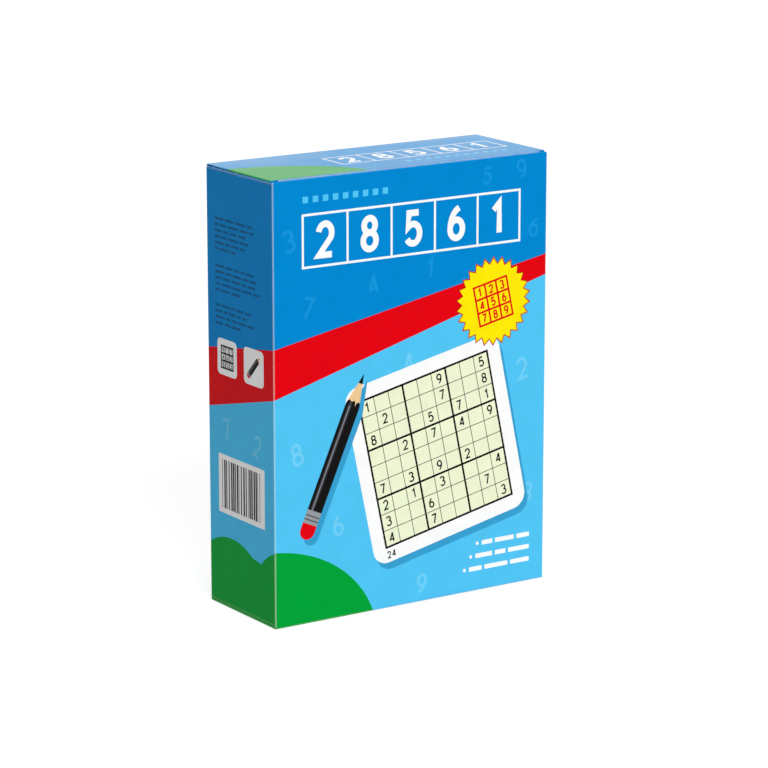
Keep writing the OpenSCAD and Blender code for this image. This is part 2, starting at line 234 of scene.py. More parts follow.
class Art:
    """A printed layout: inks in paint order, each on closed loops that are filled by the even-odd rule."""

    def __init__(self, ground):
        self.ground = ground
        self.shapes = []
        self.origin = Vector((0, 0))
        self.rotation = Matrix.Identity(2)

    def at(self, u, v, turn=0):
        """The same layout, drawn on from this point and turned by that many degrees."""
        placed = copy.copy(self)
        placed.origin = Vector((u, v))
        placed.rotation = Matrix.Rotation(math.radians(turn), 2)
        return placed

    def fill(self, ink, *loops):
        placed = [[self.origin + self.rotation @ Vector(p) for p in loop] for loop in loops]
        self.shapes.append((ink, placed))

    def line(self, ink, points, width):
        self.fill(ink, *stroke(points, width))

    def rect(self, ink, u0, v0, u1, v1, radius=0):
        if radius:
            self.fill(ink, rounded(u0, v0, u1, v1, radius))
        else:
            self.fill(ink, [(u0, v0), (u1, v0), (u1, v1), (u0, v1)])

    def disc(self, ink, u, v, radius):
        self.fill(ink, ring(u, v, radius, radius)[:-1])

    def burst(self, ink, radius, inner_radius, points):
        """A ring of points round the origin."""
        radii = (radius, inner_radius) * points
        step = math.pi / points
        self.fill(ink, [(r * math.sin(k * step), r * math.cos(k * step)) for k, r in enumerate(radii)])

    def digit(self, ink, number, u, v, height, weight_share):
        """One digit, centred on a point."""
        weight = height * weight_share
        width = height * DIGIT_WIDTH_SHARE
        left, foot = u - width / 2 + weight / 2, v - height / 2 + weight / 2
        for shares in DIGIT_STROKE_SHARES[number]:
            middle = [(left + x * (width - weight), foot + y * (height - weight)) for x, y in shares]
            self.line(ink, middle, weight)

    def cell_digit(self, ink, number, u, v, cell, shares):
        """One digit in the middle of a cell, with its height and stroke as shares."""
        self.digit(ink, number, u, v, cell * shares[0], shares[1])

    def number(self, ink, number, u, v, height):
        """A number of one or more digits, that starts at a point on its middle height."""
        pitch = height * (DIGIT_WIDTH_SHARE + DIGIT_GAP_SHARE)
        for k, digit in enumerate(str(number)):
            self.digit(ink, int(digit), u + (k + 0.5) * pitch, v, height, NUMBER_STROKE)

    def words(self, ink, u, v, lengths, height, gap):
        """A line of plain bars that stand for words, from its left end."""
        for length in lengths:
            self.rect(ink, u, v, u + length, v + height)
            u += length + gap

    def text_block(self, ink, u, v, width, lines, height, pitch, seed):
        """Lines of bars from the top down, the last one short."""
        rng = random.Random(seed)
        gap = height
        for k in range(lines):
            room = width * (LAST_LINE_SHARE if k == lines - 1 else rng.uniform(*LINE_SHARES))
            lengths = []
            while room > SHORTEST_ROOM * height:
                length = min(room, rng.uniform(*WORD_LENGTHS) * height)
                lengths.append(length)
                room -= length + gap
            self.words(ink, u, v - height - k * pitch, lengths, height, gap)

    def cells(self, digits, u, v, side, ink, line_width):
        """A row of square cells with a bold digit in each."""
        count = len(digits)
        half = line_width / 2
        for k in range(count + 1):
            self.line(ink, [(u + k * side, v - half), (u + k * side, v + side + half)], line_width)
        for k in range(2):
            self.line(ink, [(u, v + k * side), (u + count * side, v + k * side)], line_width)
        for k, digit in enumerate(digits):
            self.cell_digit(ink, digit, u + (k + 0.5) * side, v + side / 2, side, TITLE_DIGIT)

    def grid_lines(self, ink, side, count, thin, thick):
        """The lines of a square grid round the origin, every third one thick."""
        half = side / 2
        cell = side / count
        reach = half + thick / 2
        for k in range(count + 1):
            width = thick if k % BOX == 0 else thin
            place = k * cell - half
            self.line(ink, [(place, -reach), (place, reach)], width)
            self.line(ink, [(-reach, place), (reach, place)], width)

    def small_grid(self, ink, side, line_width, digits):
        """A three by three grid round the origin, with its digits row by row."""
        cell = side / BOX
        self.grid_lines(ink, side, BOX, line_width, line_width)
        for k, digit in enumerate(digits):
            row, column = divmod(k, BOX)
            self.cell_digit(ink, digit, (column - 1) * cell, (1 - row) * cell, cell, SMALL_GRID_DIGIT)

    def puzzle(self, givens, side, thin, thick, ground="cell"):
        """A nine by nine grid round the origin, with the digits that it gives."""
        half = side / 2
        cell = side / GRID
        self.rect(ground, -half, -half, half, half)
        self.grid_lines("black", side, GRID, thin, thick)
        for (row, column), digit in givens.items():
            u = (column + 0.5) * cell - half
            v = half - (row + 0.5) * cell
            self.cell_digit("black", digit, u, v, cell, PUZZLE_DIGIT)

    def pencil(self, length, width):
        """A pencil along u from the origin, its tip at the far end."""
        half = width / 2
        ferrule, paint, cone, lead = (share * length for share in (FERRULE_AT, PAINT_AT, CONE_AT, LEAD_AT))
        tip = half * (length - lead) / (length - cone)
        self.fill("red", arc(half, 0, half, half, 90, 270) + [(ferrule, -half), (ferrule, half)])
        self.rect("grey", ferrule, -half, paint, half)
        for share in RINGS_AT:
            place = ferrule + share * (paint - ferrule)
            self.line("dark_grey", [(place, -half), (place, half)], RING_WIDTH * width)
        self.rect("black", paint, -half, cone, half)
        for ink, low, high in PENCIL_SHINES:
            self.rect(ink, paint, low * width, cone, high * width)
        self.fill("wood", [(cone, -half), (lead, -tip), (lead, tip), (cone, half)])
        start = cone - SCALLOP_OVERLAP
        for ink, middle, reach, half_height in PENCIL_SCALLOPS:
            self.fill(ink, arc(start, middle * width, reach * width, half_height * width, -90, 90))
        self.fill("black", [(lead, -tip), (length, 0), (lead, tip)])

    def pencil_shadow(self, ink, length, width):
        half = width / 2
        cone = CONE_AT * length
        self.fill(ink, arc(half, 0, half, half, 90, 270) + [(cone, -half), (length, 0), (cone, half)])

    def moved(self, move):
        """The layout's shapes, with a function applied to each point."""
        return [(ink, [[move(p) for p in loop] for loop in loops]) for ink, loops in self.shapes]


def solved_grid(rng):
    """A full nine by nine grid that keeps the puzzle's rules, shuffled from a plain pattern."""
    def shuffled():
        return rng.sample(range(BOX), BOX)

    def shuffled_lines():
        return [band * BOX + line for band in shuffled() for line in shuffled()]

    names = rng.sample(range(1, GRID + 1), GRID)
    rows, columns = shuffled_lines(), shuffled_lines()
    return [[names[(BOX * (r % BOX) + r // BOX + c) % GRID] for c in columns] for r in rows]


def puzzle_givens(seed, pairs=PUZZLE_PAIRS):
    """The digits that a puzzle gives, in pairs that lie opposite each other in the grid."""
    rng = random.Random(seed)
    grid = solved_grid(rng)
    last = GRID * GRID - 1
    givens = {}
    for place in rng.sample(range(ALL_PAIRS), pairs):
        for spot in (place, last - place):
            row, column = divmod(spot, GRID)
            givens[row, column] = grid[row][column]
    return givens


# Materials

NOISE_ROUGHNESS = 0.55


class Nodes:
    """A material's or world's nodes, with short ways to add to them."""

    def __init__(self, owner):
        owner.use_nodes = True
        self.nodes = owner.node_tree.nodes
        self.links = owner.node_tree.links

    def add(self, kind, inputs=None, **settings):
        node = self.nodes.new(kind)
        for key, value in settings.items():
            setattr(node, key, value)
        for key, value in (inputs or {}).items():
            self.feed(node.inputs[key], value)
        return node

    def feed(self, socket, value):
        if isinstance(value, bpy.types.NodeSocket):
            self.links.new(value, socket)
        else:
            socket.default_value = value

    def math(self, operation, a, b=0.0):
        return self.add("ShaderNodeMath", {0: a, 1: b}, operation=operation).outputs[0]

    def spread(self, value, low, high, from_low=0.3, from_high=0.7):
        """A value moved from one range to another and held inside it, by default from a noise's range."""
        inputs = {"Value": value, "From Min": from_low, "From Max": from_high, "To Min": low, "To Max": high}
        return self.add("ShaderNodeMapRange", inputs).outputs["Result"]


class Shader(Nodes):
    """The nodes of a new material."""

    def __init__(self, name):
        self.material = bpy.data.materials.new(name)
        super().__init__(self.material)
        self.surface = self.nodes["Principled BSDF"]
        self.place = self.add("ShaderNodeTexCoord").outputs["Object"]

    def set(self, name, value):
        self.feed(self.surface.inputs[name], value)

    def axis(self, name):
        return self.add("ShaderNodeSeparateXYZ", {0: self.place}).outputs[name]

    def noise(self, scale, detail=3.0, place=None):
        inputs = {"Vector": place or self.place, "Scale": scale, "Detail": detail}
        return self.add("ShaderNodeTexNoise", inputs | {"Roughness": NOISE_ROUGHNESS}).outputs["Fac"]

    def mix(self, factor, a, b, blend="MIX"):
        """A colour mix. Its sockets share their names with other kinds of value, so they go by place."""
        inputs = {0: factor, 6: a, 7: b}
        return self.add("ShaderNodeMix", inputs, data_type="RGBA", blend_type=blend).outputs[2]

    def grey(self, value):
        return self.add("ShaderNodeCombineColor", {0: value, 1: value, 2: value}).outputs[0]

    def shaded(self, colour, pattern, low, high):
        """A colour made darker and lighter by a pattern."""
        return self.mix(1.0, colour, self.grey(self.spread(pattern, low, high)), "MULTIPLY")

    def tinted(self, colour, low, high, scale, detail=3.0):
        """A colour made a little darker and lighter from place to place."""
        return self.shaded(colour, self.noise(scale, detail), low, high)

    def along(self, way, start):
        """The distance in metres from a start point, along a direction."""
        reach = self.add("ShaderNodeVectorMath", {0: self.place, 1: way}, operation="DOT_PRODUCT")
        return self.math("SUBTRACT", reach.outputs["Value"], Vector(way).dot(Vector(start)))

    def bump(self, height, strength, distance):
        made = self.add("ShaderNodeBump", {"Height": height, "Strength": strength, "Distance": distance})
        self.set("Normal", made.outputs["Normal"])

    def upright_scaled(self, scale):
        inputs = {"Vector": self.place, "Scale": (1, 1, scale)}
        return self.add("ShaderNodeMapping", inputs).outputs["Vector"]


# Bare board mixed into the print along creases and cut ends: partly wear, partly a painted highlight on the
# edges
WEAR_AND_HIGHLIGHT_SHARE = 0.42
LOW_END_WEAR_AND_HIGHLIGHT = 0.15
WORN_ROUGHNESS = 0.3
# How far from its axis the pale wear and painted highlight of a fold start to fade, and how far they reach,
# in metres
FOLD_WEAR_AND_HIGHLIGHT = (0.0002, 0.0005)


def varnish(shader, colour, worn, ior, gloss):
    """Coated, varnished board, paled to bare board in places by wear and by a painted edge highlight. Its
    roughness lies in the range that gloss gives.
    """
    shader.set("Base Color", shader.mix(worn, colour, BARE_BOARD))
    fresh = shader.spread(shader.noise(scale=45, detail=4), *gloss)
    shader.set("Roughness", shader.math("ADD", fresh, shader.math("MULTIPLY", worn, WORN_ROUGHNESS)))
    shader.bump(shader.noise(scale=1300), strength=0.12, distance=0.00004)
    shader.set("IOR", ior)


def print_colour(shader, ink):
    """Ink with the soft mottle and fine grain of offset print."""
    mottled = shader.tinted(ink, low=0.97, high=1.03, scale=140, detail=4)
    return shader.tinted(mottled, low=0.985, high=1.015, scale=2400, detail=2)


def patchy(shader, wear):
    """The share of bare board mixed in where the print is worn and where an edge highlight is painted, which
    differs from patch to patch.
    """
    patches = shader.spread(shader.noise(scale=600, detail=4), low=0.6, high=1.0)
    return shader.math("MULTIPLY", shader.math("MULTIPLY", wear, patches), WEAR_AND_HIGHLIGHT_SHARE)


def printed_material(name, ior, gloss):
    """Print whose ink the mesh gives face by face, and whose wear and painted edge highlight it gives point
    by point.
    """
    shader = Shader(name)
    ink = shader.add("ShaderNodeAttribute", attribute_name="ink").outputs["Color"]
    wear = shader.add("ShaderNodeAttribute", attribute_name="wear").outputs["Fac"]
    varnish(shader, print_colour(shader, ink), patchy(shader, wear), ior, gloss)
    return shader.material


def board_colour(shader, colour, specks_colour):
    base = shader.tinted(colour, low=0.95, high=1.03, scale=60)
    grain = shader.noise(scale=2200, detail=1)
    specks = shader.spread(grain, low=0, high=0.5, from_low=0.66, from_high=0.8)
    return shader.mix(specks, base, specks_colour)


def board_material(name, colour, specks_colour, roughness):
    """Bare board with pressed fibres and a few darker specks."""
    shader = Shader(name)
    shader.set("Base Color", board_colour(shader, colour, specks_colour))
    fibre = shader.noise(scale=900, detail=5, place=shader.upright_scaled(0.35))
    shader.set("Roughness", shader.spread(fibre, low=roughness - 0.08, high=roughness + 0.08))
    shader.bump(fibre, strength=0.3, distance=0.00005)
    shader.set("IOR", 1.3)
    return shader.material


def flap_material(name, axis, way, outward, bleed, ink, far_ink=None, border=0, rim=CARTON_W,
                  wear=LOW_END_WEAR_AND_HIGHLIGHT):
    """A flap that is printed on its outer side for some way past its crease, and bare beyond.

    axis is a point on the crease, way runs from there along the flap, and outward leaves its printed side.
    far_ink takes over to the right of the border, and the cut ends past the rim are inked as well.
    Lengths are in millimetres.
    """
    shader = Shader(name)
    axis = Vector(axis) * MM
    reach = shader.along(way, axis)
    outer = shader.math("GREATER_THAN", shader.along(outward, axis), 0.0)
    near = shader.math("MULTIPLY", outer, shader.math("LESS_THAN", reach, bleed * MM))
    inked = shader.math("MAXIMUM", near, shader.math("LESS_THAN", reach, 0.0))
    across = shader.axis("X")
    cut = shader.math("GREATER_THAN", shader.math("ABSOLUTE", across), rim * MM)
    inked = shader.math("MAXIMUM", inked, cut)
    colour = INKS[ink]
    if far_ink:
        colour = shader.mix(shader.math("GREATER_THAN", across, border * MM), colour, INKS[far_ink])
    bare = board_colour(shader, BOARD_REVERSE, BOARD_SPECKS)
    # Near the fold the print is paled to bare board: partly wear, partly a painted highlight on the rounded
    # crease
    folded = shader.spread(shader.math("ABSOLUTE", reach), wear, 0, *FOLD_WEAR_AND_HIGHLIGHT)
    colour = shader.mix(inked, bare, print_colour(shader, colour))
    varnish(shader, colour, patchy(shader, folded), ior=1.2, gloss=(0.3, 0.45))
    return shader.material


def plastic_material(name, colour, roughness, bands=()):
    """Moulded plastic with faint flow marks. Bands are rings of ink at heights in millimetres."""
    shader = Shader(name)
    base = shader.tinted(colour, low=0.96, high=1.03, scale=90)
    height = shader.axis("Z")
    for low, high, ink in bands:
        over = shader.math("GREATER_THAN", height, low * MM)
        within = shader.math("MULTIPLY", over, shader.math("LESS_THAN", height, high * MM))
        base = shader.mix(within, base, INKS[ink])
    shader.set("Base Color", base)
    flow = shader.noise(scale=260, detail=4)
    shader.set("Roughness", shader.spread(flow, low=roughness - 0.05, high=roughness + 0.07))
    shader.bump(shader.noise(scale=1500, detail=2), strength=0.08, distance=0.00005)
    return shader.material


def fibre_material(name, colour, roughness, scale, depth, upright_scale):
    """Felt or bonded fibre."""
    shader = Shader(name)
    hairs = shader.noise(scale, detail=6, place=shader.upright_scaled(upright_scale))
    shader.set("Base Color", shader.shaded(colour, hairs, low=0.72, high=1.2))
    shader.set("Roughness", roughness)
    shader.set("Sheen Weight", 0.15)
    shader.bump(hairs, strength=0.7, distance=depth)
    return shader.material


WALL_PRINT = printed_material("printed_board_wall", ior=1.09, gloss=(0.2, 0.3))
LID_PRINT = printed_material("printed_board_lid", ior=1.145, gloss=(0.16, 0.24))
CARD_PRINT = printed_material("wipe_clean_card", ior=1.4, gloss=(0.12, 0.22))
PAPER_PRINT = printed_material("leaflet_paper", ior=1.3, gloss=(0.5, 0.6))
BOARD = board_material("plain_board", BOARD_REVERSE, BOARD_SPECKS, roughness=0.72)
CUT_EDGE = board_material("cut_edge", BARE_BOARD, BOARD_REVERSE, roughness=0.75)
INKED_EDGE = board_material("inked_cut_edge", INKS["deep_blue"], INKS["shadow_blue"], roughness=0.6)
GREYBOARD = board_material("greyboard_core", CORE_GREY, CORE_SPECKS, roughness=0.8)
PAPER = board_material("plain_paper", INKS["paper_white"], PAPER_SPECKS, roughness=0.7)


# Meshes for printed pieces, in millimetres

EDGE_ROLL = 0.25
CREASE_BAND = 0.3
CDT_GAP = 1e-4
LONG_STEP = 5.0
# The order of a piece's materials
PRINT, BARE, CUT = range(3)


def inside(points, loops):
    """Which points lie inside the loops, by the even-odd rule."""
    ends = np.concatenate([np.array(loop, float) for loop in loops])
    near = np.flatnonzero(((points > ends.min(axis=0)) & (points < ends.max(axis=0))).all(axis=1))
    x, y = points[near].T
    hit = np.zeros(len(near), bool)
    for loop in loops:
        corners = np.array(loop, float)
        for (x0, y0), (x1, y1) in zip(corners, np.roll(corners, -1, axis=0)):
            if y0 != y1:
                crosses = (y0 > y) != (y1 > y)
                hit ^= crosses & (x < (x1 - x0) * (y - y0) / (y1 - y0) + x0)
    found = np.zeros(len(points), bool)
    found[near] = hit
    return found


def partition(outline, shapes, ground, extra_lines=()):
    """Triangles that fill an outline, cut along the edges of every shape, with the ink of each triangle."""
    points, edges = [], []

    def add_line(line, closed):
        first, count = len(points), len(line)
        points.extend(Vector(p) for p in line)
        edges.extend((first + k, first + (k + 1) % count) for k in range(count if closed else count - 1))

    add_line(outline, True)
    for line in extra_lines:
        add_line(line, False)
    for _, loops in shapes:
        for loop in loops:
            add_line(loop, True)
    corners, _, faces, _, _, _ = delaunay_2d_cdt(points, edges, [], 0, CDT_GAP)
    corners = np.array(corners, float)
    faces = np.array(faces, int)
    middles = corners[faces].mean(axis=1)
    kept = inside(middles, [outline])
    faces, middles = faces[kept], middles[kept]
    inks = np.full(len(faces), ground, dtype=object)
    for ink, loops in shapes:
        inks[inside(middles, loops)] = ink
    return corners, faces, inks


def add_object(name, data):
    made = bpy.data.objects.new(name, data)
    bpy.context.scene.collection.objects.link(made)
    return made


class Maker:
    """Gathers vertices with their wear and painted edge highlight, and faces with their ink, and turns them
    into an object.
    """

    def __init__(self):
        self.mesh = bmesh.new()
        self.wear = []
        self.inks = []

    def vertex(self, place, wear=0.0):
        self.wear.append(wear)
        return self.mesh.verts.new(Vector(place) * MM)

    def face(self, corners, material_index, ink=None):
        self.mesh.faces.new(corners).material_index = material_index
        self.inks.append(INKS[ink] if ink else BARE_BOARD)

    def finish(self, name, materials, smooth_angle):
        bmesh.ops.recalc_face_normals(self.mesh, faces=self.mesh.faces)
        mesh = bpy.data.meshes.new(name)
        self.mesh.to_mesh(mesh)
        self.mesh.free()
        sizes = np.zeros(len(mesh.polygons), np.int32)
        mesh.polygons.foreach_get("loop_total", sizes)
        ink = mesh.color_attributes.new("ink", "FLOAT_COLOR", "CORNER")
        ink.data.foreach_set("color", np.repeat(np.array(self.inks, np.float32), sizes, axis=0).ravel())
        wear = mesh.attributes.new("wear", "FLOAT", "POINT")
        wear.data.foreach_set("value", np.array(self.wear, np.float32))
        for material in materials:
            mesh.materials.append(material)
        mesh.shade_smooth()
        mesh.set_sharp_from_angle(angle=math.radians(smooth_angle))
        return add_object(name, mesh)


def folded_sheet(name, path, first, closing, ends, place, art, materials, inward=1, rolls=(0, 0),
                 end_wear=(0, 0), swapped=False):
    """A sheet whose section is swept straight along its length, printed on one side.

    path holds the section's points on the printed side, in the order of the print's wrap, and first is the
    print's coordinate at its first point. closing holds the section's other points, back to the start.
    inward is 1 where the bare side lies to the left of the path. Each cut end has a roll, by which its rim
    is bent in, and a share of pale wear and painted highlight. Creases get pale wear and painted highlight
    too.
    The materials are for the print, the bare side and the cut edges.
    """
    section = np.array(path, float)
    ways = np.diff(section, axis=0)
    steps = np.linalg.norm(ways, axis=1)
    knots = first + np.concatenate([[0], np.cumsum(steps)])
    sides = inward * np.stack([-ways[:, 1], ways[:, 0]], axis=1) / steps[:, None]
    sides = np.concatenate([sides[:1], (sides[1:] + sides[:-1]) / 2, sides[-1:]])
    sides /= np.linalg.norm(sides, axis=1)[:, None]
    low, high = ends
    start, end = knots[0], knots[-1]
    flats = [(knots[k], knots[k + 1]) for k in range(len(steps)) if steps[k] > LONG_STEP]
    crease_ends = [start, end] + [w for flat in flats for w in flat]
    lines = [[(w, low), (w, high)] for w in knots[1:-1]]
    lines += [[(start, at), (end, at)] for at in (low + EDGE_ROLL, high - EDGE_ROLL)]
    shapes = art.moved(lambda p: (p[1], p[0])) if swapped else art.shapes
    outline = [(start, low), (end, low), (end, high), (start, high)]
    corners, faces, inks = partition(outline, shapes, art.ground, lines)

    maker = Maker()
    verts = {}
    for k in sorted(set(faces.ravel())):
        w, at = corners[k]
        edge_gap = min(at - low, high - at)
        nearer = 0 if at - low < high - at else 1
        depth = rolls[nearer] * max(0.0, 1 - edge_gap / EDGE_ROLL)
        a, b = (np.interp(w, knots, section[:, i] + depth * sides[:, i]) for i in range(2))
        # Pale wear with a painted edge highlight: full on creases, fading across the crease band, and a set
        # share on cut ends
        on_flat = any(flat_start + CDT_GAP < w < flat_end - CDT_GAP for flat_start, flat_end in flats)
        if on_flat:
            wear = end_wear[nearer] if edge_gap < CDT_GAP else 0.0
        else:
            wear = min(1.0, min(abs(w - crease_end) for crease_end in crease_ends) / CREASE_BAND)
        verts[k] = maker.vertex(place(a, b, at), wear)
    for face, ink in zip(faces, inks):
        maker.face([verts[k] for k in face], PRINT, ink)

    def edge(axis, value):
        """The printed side's vertices on one of its edges, in order along it."""
        found = [k for k in verts if abs(corners[k][axis] - value) < CDT_GAP]
        return [verts[k] for k in sorted(found, key=lambda k: corners[k][1 - axis])]

    columns = [edge(0, end)]
    columns += [[maker.vertex(place(a, b, at)) for at in ends] for a, b in closing]
    columns.append(edge(0, start))
    rest = np.array([path[-1], *closing, path[0]], float)
    widths = np.linalg.norm(np.diff(rest, axis=0), axis=1)
    for one, other, width in zip(columns, columns[1:], widths):
        maker.face(one + other[::-1], BARE if width > LONG_STEP else CUT)
    for k, at in enumerate(ends):
        maker.face(edge(1, at) + [column[-k] for column in columns[1:-1]], CUT)
    return maker.finish(name, materials, smooth_angle=35)


CARD_LINER = 0.16
CARD_CORNER_R = 8.0


def card(name, low, high, front, back):
    """A board with round corners, a layout on each side, and a grey core that shows in its rim."""
    middle = (low + high) / 2
    half_u, half_v = (high.x - low.x) / 2, (high.z - low.z) / 2
    maker = Maker()

    def place(u, v, y):
        return (middle.x + u, y, middle.z + v)

    def printed_face(art, y, side):
        """One printed side, and the vertices of its outline in order."""
        u, v = half_u - CARD_LINER, half_v - CARD_LINER
        outline = rounded(-u, -v, u, v, CARD_CORNER_R - CARD_LINER)
        shapes = art.moved(lambda p: (side * p[0], p[1]))
        corners, faces, inks = partition(outline, shapes, art.ground)
        rim = [int(np.argmin(np.hypot(*(corners - p).T))) for p in np.array(outline)]
        used = sorted(set(faces.ravel()))
        verts = {k: maker.vertex(place(*corners[k], y), 1.0 if k in rim else 0.0) for k in used}
        for face, ink in zip(faces, inks):
            maker.face([verts[k] for k in face], PRINT, ink)
        return [verts[k] for k in rim]

    outer = rounded(-half_u, -half_v, half_u, half_v, CARD_CORNER_R)
    rings = [printed_face(front, low.y, 1)]
    for y in (low.y + CARD_LINER, high.y - CARD_LINER):
        rings.append([maker.vertex(place(u, v, y), wear=0.6) for u, v in outer])
    rings.append(printed_face(back, high.y, -1))
    bands = ((PRINT, "card_white"), (BARE, None), (PRINT, "card_white"))
    for one, other, (material_index, ink) in zip(rings, rings[1:], bands):
        count = len(one)
        for i in range(count):
            j = (i + 1) % count
            maker.face([one[i], one[j], other[j], other[i]], material_index, ink)
    return maker.finish(name, [CARD_PRINT, GREYBOARD], smooth_angle=30)


def dress(piece, node, body):
    """The piece stands for a CAD node and moves with its body."""
    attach(piece, body)
    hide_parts(node)


# Layouts of the carton's print, in millimetres and degrees

# Lower and upper edge of the red stripe where it meets each upright crease
STRIPE = {
    "front_left": (88, 107),
    "front_right": (122, 130),
    "back_right": (128, 134),
    "back_left": (77, 100),
}
TITLE = (2, 8, 5, 6, 1)
BLEED = 3.0

# Middle and half sizes of the green hills
Hill = namedtuple("Hill", "u v half_u half_v")
FRONT_HILL = Hill(-6, -12, 52, 42)
BACK_HILL = Hill(130, -12, 53, 35.5)
LID_HILL = Hill(-6, -4, 50, 36)
# The left side's two hills with the ends of their arcs, and the height at which they reach the front
LEFT_HILLS = ((Hill(50, -6, 22, 35.5), 95, 125), (Hill(16, 6, 26, 22), 55, 140))
LEFT_HILL_EDGE = 29.4

# The front's picture, burst and list
PICTURE_TURN = 12
PENCIL_TURN = 66
PENCIL_SIZE = (66, 6.6)
BURST = (99, 114)
LIST_RIGHT = 117
WORD_HEIGHT = 1.8
WORD_GAP = 1.3
BULLET_GAP = 2.2
BULLET_R = 0.7

# The left side's small print, tiles and block of bars
SMALL_PRINT = {"height": 1.0, "pitch": 2.3}
TILE_LEFTS = (7, 26)
TILE_FOOT = 91
TILE_SIDE = 14
TILE_INSET = 2.6
BAR_MARGIN = 2
BARS_START = 2.5
BARS_STOP = 3
BAR_WIDTHS = (0.35, 0.7, 1.0)
BAR_GAPS = (0.4, 0.7, 1.1)

# The right side's column of tiles
COLUMN_TOP = 99
COLUMN_PITCH = 14
COLUMN_TILE = 12.6


def hill_reach(hill):
    """How far a hill reaches to each side of its middle, along the panel's bottom edge."""
    return hill.half_u * math.sqrt(1 - (hill.v / hill.half_v) ** 2)


def green_hill(art, hill):
    art.fill("green", arc(*hill, start=-10, end=190, step=FINE_ARC_STEP))


def scatter(art, ink, places):
    """Single faint digits, each with its place, height and turn."""
    for digit, u, v, height, turn in places:
        art.at(u, v, turn).digit(ink, digit, 0, 0, height, FAINT_STROKE)


def wall_art(width, left, right, deep=(), light=()):
    """Deep blue over light blue, with faint digits on both and the red stripe between them."""
    art = Art("light_blue")
    slopes = [(right[k] - left[k]) / width for k in range(2)]
    low, high = ([(-BLEED, left[k] - BLEED * slopes[k]), (width + BLEED, right[k] + BLEED * slopes[k])]
                 for k in range(2))
    art.fill("deep_blue", high + [(width + BLEED, CARTON_H + BLEED), (-BLEED, CARTON_H + BLEED)])
    scatter(art, "faint_deep", deep)
    scatter(art, "faint_light", light)
    art.fill("red", low + high[::-1])
    return art


def square_row(art, ink, u, v, side, pitch, count):
    for k in range(count):
        art.rect(ink, u + k * pitch, v, u + k * pitch + side, v + side)


def picture_card(art, u, v, half, corner_r, shadow, turn=0):
    """A white card over its shadow. It returns the layout placed at the card's middle."""
    picture = art.at(u, v, turn)
    under = art.at(u + shadow[0], v + shadow[1], turn)
    for ink, placed in (("shadow_blue", under), ("white", picture)):
        placed.rect(ink, -half, -half, half, half, corner_r)
    return picture


def front_art():
    art = wall_art(
        CARTON_W, STRIPE["front_left"], STRIPE["front_right"],
        deep=((7, 15, 121, 9, -12), (4, 44, 127, 8, 14), (1, 70, 130, 8, -8), (9, 112, 164, 8, 10),
              (3, 7, 147, 9, 12), (6, 118, 141, 8, -15), (5, 96, 163, 7, -10)),
        light=((8, 10, 66, 9, 14), (2, 113, 86, 9, 12), (6, 28, 36, 8, 8), (9, 66, 7, 8, -10),
               (4, 60, 95, 8, 12), (3, 116, 36, 8, -12)))
    green_hill(art, FRONT_HILL)
    art.cells(TITLE, u=13, v=136.5, side=19.6, ink="white", line_width=0.9)
    square_row(art, "light_blue", u=13, v=160.6, side=2.4, pitch=4.4, count=9)
    picture = picture_card(art, u=73, v=59.4, half=36, corner_r=6, shadow=(1.6, -2.6), turn=PICTURE_TURN)
    picture.puzzle(puzzle_givens(seed=11), side=60, thin=0.28, thick=0.85)
    picture.number("black", 24, u=-30.4, v=-33.1, height=3)
    art.at(u=14.6, v=30.5, turn=PENCIL_TURN).pencil_shadow("shadow_blue", *PENCIL_SIZE)
    art.at(u=13, v=33, turn=PENCIL_TURN).pencil(*PENCIL_SIZE)
    for ink, radius, inner_radius in (("dark_red", 17.6, 15.0), ("yellow", 16.8, 14.4)):
        art.at(*BURST).burst(ink, radius, inner_radius, points=26)
    art.at(*BURST, PICTURE_TURN).small_grid("red", side=15.6, line_width=0.8, digits=range(1, 10))
    for v, lengths in ((18, (5, 9, 6)), (13, (8, 5, 10)), (8, (6, 11, 9))):
        left = LIST_RIGHT - sum(lengths) - WORD_GAP * (len(lengths) - 1)
        art.disc("white", left - BULLET_GAP, v + WORD_HEIGHT / 2, BULLET_R)
        art.words("white", left, v, lengths, WORD_HEIGHT, WORD_GAP)
    return art


def bar_block(art, u0, v0, u1, v1, seed):
    """A white block of upright bars, without meaning."""
    art.rect("white", u0, v0, u1, v1)
    rng = random.Random(seed)
    u = u0 + BARS_START
    while u < u1 - BARS_STOP:
        width = rng.choice(BAR_WIDTHS)
        art.rect("black", u, v0 + BAR_MARGIN, u + width, v1 - BAR_MARGIN)
        u += width + rng.choice(BAR_GAPS)


def left_art():
    art = wall_art(CARTON_D, STRIPE["back_left"], STRIPE["front_left"],
                   light=((7, 13, 70, 9, 10), (2, 35, 68, 9, -12)))
    right = CARTON_D + BLEED
    hills = [(-BLEED, -BLEED), (right, -BLEED), (right, LEFT_HILL_EDGE)]
    for hill, start, end in LEFT_HILLS:
        hills += arc(*hill, start, end, FINE_ARC_STEP)
    art.fill("green", hills)
    for v, width, lines, seed in ((151, 28, 6, 5), (133, 32, 5, 6), (118, 30, 4, 7)):
        art.text_block("small_print", 6, v, width, lines, seed=seed, **SMALL_PRINT)
    for u in TILE_LEFTS:
        art.rect("white", u, TILE_FOOT, u + TILE_SIDE, TILE_FOOT + TILE_SIDE, radius=2)
    grid_left, pencil_left = TILE_LEFTS
    grid_tile = art.at(grid_left + TILE_SIDE / 2, TILE_FOOT + TILE_SIDE / 2)
    grid_tile.small_grid("black", side=8.4, line_width=0.7, digits=(9, 1, 7, 4, 6, 2, 8, 5, 3))
    art.at(pencil_left + TILE_INSET, TILE_FOOT + TILE_INSET, turn=45).pencil(length=12.4, width=2.4)
    bar_block(art, u0=7, v0=37, u1=40, v1=60, seed=3)
    return art


